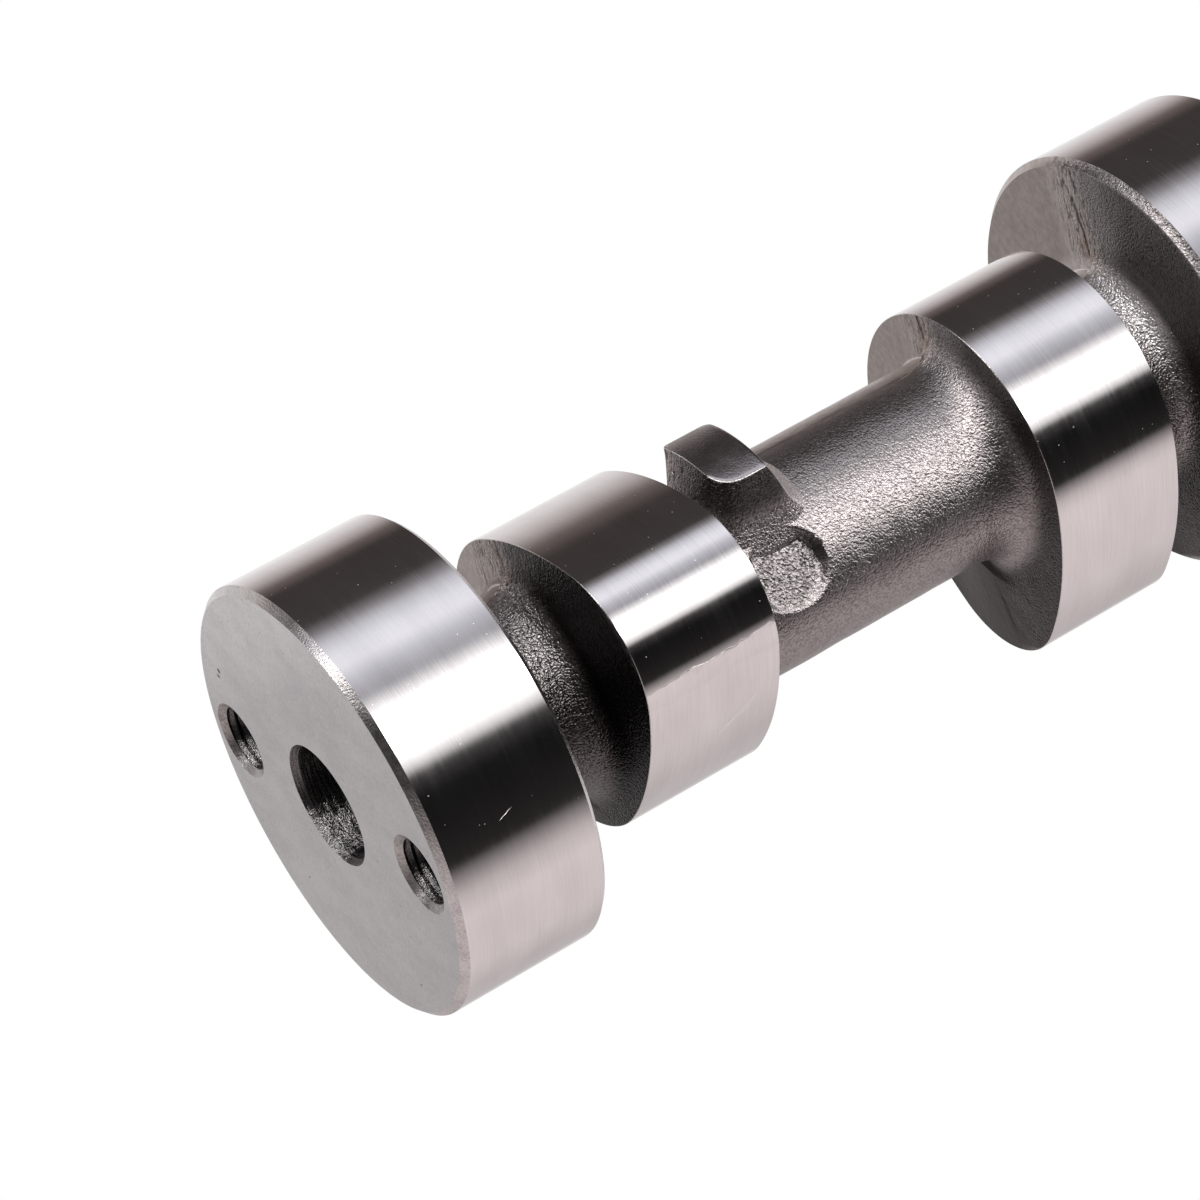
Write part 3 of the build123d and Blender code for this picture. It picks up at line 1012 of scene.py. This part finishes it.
def cut_tapped_hole(piece, x):
    """Subtract the drill from a piece and give the hole's mouth and wall their finishes."""
    tool = add_object("drill", closed_mesh("drill", threaded_drill(x)))
    cut = piece.modifiers.new("cut", "BOOLEAN")
    cut.operation, cut.solver, cut.object = "DIFFERENCE", "EXACT", tool
    shape = piece.evaluated_get(bpy.context.evaluated_depsgraph_get())
    mesh = bpy.data.meshes.new_from_object(shape)
    piece.modifiers.clear()
    piece.data = mesh
    bpy.data.objects.remove(tool)
    faces = mesh.polygons
    across, along, height = read_all(faces, "center", 3).T / MM
    numbers = read_all(faces, "material_index", 1, np.int32).ravel()
    depth = total_length - height
    inside = (np.hypot(across - x, along) < tapped_hole["mouth"]) & (depth > 0.001)
    numbers[inside] = MOUTH
    numbers[inside & (depth > hole_depths(tapped_hole)[0])] = BORED
    faces.foreach_set("material_index", numbers)
    mesh.set_sharp_from_angle(angle=radians(25))
    print(piece.name, "now has", len(faces), "faces")


for side in (-1, 1):
    cut_tapped_hole(journals[0], side * tapped_hole_spacing / 2)

# %% [markdown]
# ## The clamping lug
#
# Behind the first lobe a lug grows out of the shaft, by which the machine that turns the shaft
# holds it at the right angle. Its top was turned together with a journal, so it is a patch of a
# cylinder. Its sides are cast: flat on the seam, leaning on the other side, and sloping at front
# and back. Each level of the lug is a four-sided loop with rounded corners, and the levels are
# stacked from inside the shaft to the top.

# %% Sizes of the lug
lug_depth = 49.3
lug_length = 6.0
lug_top_radius = 17.5
lug_span = 36.0
lug_lean = 13.0
lug_root_radius = 6.0
lug_front_slope = 4.2
lug_back_slope = 5.2
lug_top_corners = (1.2, 0.7, 3.4, 0.5)
lug_foot_corners = (1.2, 0.7, 4.2, 3.6)
lug_flare = 1.6
lug_flare_radius = 13.4
lug_flare_reach = 2.4
lug_low_radius = 10.0
lug_bevel = 0.07
lug_straight, lug_bend = 18, 9


# %% Loops of the lug
def rounded_loop(corners, reaches, straight, bend):
    """Loops through four corners, each cut off by a parabola that starts its reach before it.

    corners is levels by 4 by 2, and reaches is levels by 4. A parabola from p to q with the corner
    c is p (1 - t)^2 + 2 c t (1 - t) + q t^2.
    """
    ahead = np.roll(corners, -1, axis=1) - corners
    length = np.linalg.norm(ahead, axis=-1, keepdims=True)
    ahead = ahead / length
    behind = np.roll(ahead, 1, axis=1)
    reaches = reaches[..., None]
    arrive, leave = corners - behind * reaches, corners + ahead * reaches
    points = []
    for corner in range(4):
        share = np.linspace(0, 1, bend)[None, :, None]
        at, into, out = (each[:, corner, None] for each in (corners, arrive, leave))
        points.append(into * (1 - share)**2 + 2 * at * share * (1 - share) + out * share**2)
        share = np.linspace(0, 1, straight + 2)[None, 1:-1, None]
        goal = arrive[:, (corner + 1) % 4, None]
        points.append(out + (goal - out) * share)
    return np.concatenate(points, axis=1)


def lug_levels(radius):
    """Loops of the lug at each radius, as distance round the axis from the seam and height."""
    lowered = (lug_top_radius - radius) / (lug_top_radius - lug_root_radius)
    front = total_length - lug_depth + lug_front_slope * lowered**1.3
    back = total_length - lug_depth - lug_length - lug_back_slope * lowered**0.9
    leaning = lug_lean * (lug_top_radius - radius) / (lug_top_radius - rough_shaft_radius)
    seam_side, far_side = 0 * radius, -np.radians(lug_span + leaning) * radius
    corners = np.stack([np.stack([seam_side, back], -1), np.stack([seam_side, front], -1),
                        np.stack([far_side, front], -1), np.stack([far_side, back], -1)], axis=1)
    reaches = lug_top_corners + np.outer(lowered, np.subtract(lug_foot_corners, lug_top_corners))
    loops = rounded_loop(corners, reaches, lug_straight, lug_bend)
    middle = loops.mean(axis=1, keepdims=True)
    flare = lug_flare * np.clip((lug_flare_radius - radius) / lug_flare_reach, 0, 1.2)**2
    size = np.linalg.norm(loops - middle, axis=-1, keepdims=True)
    return loops + (loops - middle) / size * flare[:, None, None]


def lug():
    """The lug's sides from the root up, a bevel, and rings that shrink over its turned top."""
    radius = np.linspace(lug_low_radius, lug_top_radius - lug_bevel, 30)
    sides = lug_levels(radius)
    top = lug_levels(np.array([lug_top_radius]))
    middle = top.mean(axis=1, keepdims=True)
    shrink = np.array([0.99, 0.9, 0.75, 0.5, 0.25, 0.08])[:, None, None]
    tops = middle + (top - middle) * shrink
    radii = np.concatenate([radius, np.full(len(shrink), lug_top_radius)])[:, None]
    loops = np.concatenate([sides, tops])
    azimuth = seam_azimuths[0] + np.degrees(loops[..., 0] / radii)
    grid = around(radii, loops[..., 1], azimuth)
    side_rows = len(radius)
    relief = np.zeros(grid.shape[:2])
    relief[:side_rows - 1] = cast_relief(grid[:side_rows - 1])
    grid = grid + grid_normals(grid) * relief[..., None]
    side_skin, bevel_skin, top_skin = range(3)
    finishes = [side_skin] * (side_rows - 1) + [bevel_skin] + [top_skin] * len(shrink)
    mesh = closed_mesh("lug", grid, [lug_skin, burr, satin], finishes, sharp=50)
    smooth = np.zeros(grid.shape[:2])
    back_starts = 3 * (lug_straight + lug_bend) + lug_bend // 2 + 1
    smooth[:, back_starts:] = 1
    add_measure(mesh, "smooth", np.append(smooth, [0, 0]))
    return add_piece("lug", mesh)


print(lug().name, "made")

# %% [markdown]
# ## The camera
#
# The photograph was taken from above and beside the shaft's end with a long lens. Turning the
# picture by the roll below lays the upright shaft across it, as it lay on the photographer's table.

# %% Camera
camera_data = bpy.data.cameras.new("camera")
camera_data.lens = 133.7
camera_data.sensor_width = 36.0
camera_data.clip_start = 0.01
camera = add_object("camera", camera_data)
camera.location = Vector((365.27, 244.50, 582.52)) * MM
camera.rotation_euler = (radians(-50.2627), radians(54.5076), radians(-22.7692))
bpy.context.scene.camera = camera
print("the camera stands", round(camera.location.length, 3), "m from the shaft's foot")

# %% [markdown]
# ## The studio
#
# Polished metal shows nothing but the room. The room here is a white tent with dark gaps: a ring of
# soft panels whose brightness changes with the direction in which one looks from the shaft. It
# could be built from many lamps. Painting the world by direction needs only one list of panels, and
# the camera itself sees plain white.

# %% The world as a ring of soft panels
seen_height = -21.8
vanishing_point = (150.0, 60.0)
dark_place = (214.0, 52.0)
panels = [
    (-150, (0.90, 0.88, 0.88)), (-138, (0.78, 0.75, 0.75)), (-124, (0.54, 0.51, 0.51)),
    (-104, (0.56, 0.51, 0.51)), (-86, (0.70, 0.63, 0.63)), (-50, (0.78, 0.70, 0.70)),
    (-38, (0.60, 0.54, 0.54)), (-30, (0.32, 0.29, 0.29)), (-22, (0.02, 0.018, 0.018)),
    (14, (0.005, 0.005, 0.005)), (24.5, (0.03, 0.028, 0.028)), (28.5, (0.80, 0.79, 0.79)),
    (37, (1.6, 1.58, 1.57)), (41, (6.5, 6.3, 6.3)), (50, (6.5, 6.3, 6.3)), (55, (1.7, 1.68, 1.68)),
    (61, (1.05, 1.03, 1.05)), (68, (0.36, 0.36, 0.39)), (78, (0.60, 0.60, 0.66)),
    (87, (0.98, 0.98, 1.05)), (95, (0.92, 0.92, 1.0)), (103, (0.66, 0.66, 0.72)),
    (111, (0.22, 0.21, 0.22)), (118, (0.05, 0.045, 0.045)), (150, (0.05, 0.042, 0.04)),
    (160, (0.16, 0.13, 0.125)), (170, (0.48, 0.44, 0.43)), (182, (0.74, 0.70, 0.70)),
    (196, (0.88, 0.86, 0.86)), (210, (0.90, 0.88, 0.88)),
]
dark_edge, dark_core = 25.0, 15.0


def towards(azimuth, height):
    """Unit vector that points at an azimuth and a height above the horizon, both in degrees."""
    turn, rise = radians(azimuth), radians(height)
    return Vector((cos(rise) * cos(turn), cos(rise) * sin(turn), sin(rise)))


def paint_world():
    """Brightness of the room by direction, for everything but the camera.

    The panels are long strips that meet far away, as railway lines do. A direction's strip is its
    angle round the vanishing point, and the list gives each strip's azimuth at the height that the
    camera sees in an upright mirror.
    """
    world = bpy.data.worlds.new("studio")
    world.use_nodes = True
    bpy.context.scene.world = world
    tree = world.node_tree
    tree.nodes.clear()
    axis = towards(*vanishing_point)
    level = Vector((0, 0, 1)).cross(axis).normalized()
    steep = axis.cross(level)

    def strip(azimuth):
        """Where an azimuth's strip lies on the way round the vanishing point, in turns."""
        direction = towards(azimuth, seen_height)
        return atan2(direction.dot(steep), direction.dot(level)) / (2 * pi)

    direction = tree.nodes.new("ShaderNodeTexCoord").outputs["Generated"]
    ups, along, darkward = (vector_math(tree, "DOT_PRODUCT", direction, side)
                            for side in (steep, level, towards(*dark_place)))
    turn = math_node(tree, "DIVIDE", math_node(tree, "ARCTAN2", ups, along), 2 * pi)
    first = strip(panels[0][0])
    share = math_node(tree, "FRACT", math_node(tree, "ADD", turn, 1 - first))
    stops = [((strip(angle) - first) % 1, colour) for angle, colour in panels]
    room = ramp(tree, share, stops)
    dark = step_between(tree, darkward, cos(radians(dark_edge)), cos(radians(dark_core)))
    room = blend(tree, times(tree, dark, 0.88), room, (0.0, 0.0, 0.0))
    lit, white = (add_node(tree, "ShaderNodeBackground", {"Color": colour, "Strength": 1.0})
                  for colour in (room, (1, 1, 1, 1)))
    seen = tree.nodes.new("ShaderNodeLightPath").outputs["Is Camera Ray"]
    mixed = add_node(tree, "ShaderNodeMixShader", {0: seen, 1: lit.outputs[0], 2: white.outputs[0]})
    out = tree.nodes.new("ShaderNodeOutputWorld")
    tree.links.new(mixed.outputs[0], out.inputs["Surface"])
    return world


paint_world()
print("panels in the room:", len(panels))

# %% [markdown]
# ### The floor
#
# In the photograph the floor is so pale that its edge is lost. A plain white world could stand in
# for it, but then the shaft would cast no shadow. So the floor is a real disc, and a glow that only
# the camera sees lifts it towards white without lighting the iron from below.

# %% The floor
floor_radius = 230.0
floor_height = -0.01
floor_corners = 96
floor_glow = 0.47


def pale_floor():
    """A disc under the shaft, nearly white to the camera, and darker where the shaft shades it."""
    ring = around(floor_radius, floor_height, all_round(floor_corners)) * MM
    mesh = bpy.data.meshes.new("floor")
    mesh.from_pydata([tuple(point) for point in ring], [], [tuple(range(floor_corners))])
    material, tree, shader = new_material("pale_floor")
    seen = tree.nodes.new("ShaderNodeLightPath").outputs["Is Camera Ray"]
    glow = times(tree, seen, floor_glow)
    feed(tree, shader, {"Base Color": (0.9, 0.9, 0.9, 1), "Roughness": 0.9,
                        "Emission Color": (1, 1, 1, 1), "Emission Strength": glow})
    mesh.materials.append(material)
    floor = add_object("floor", mesh)
    return floor


print("made the", pale_floor().name)

# %% View settings
bpy.context.scene.view_settings.view_transform = "Standard"
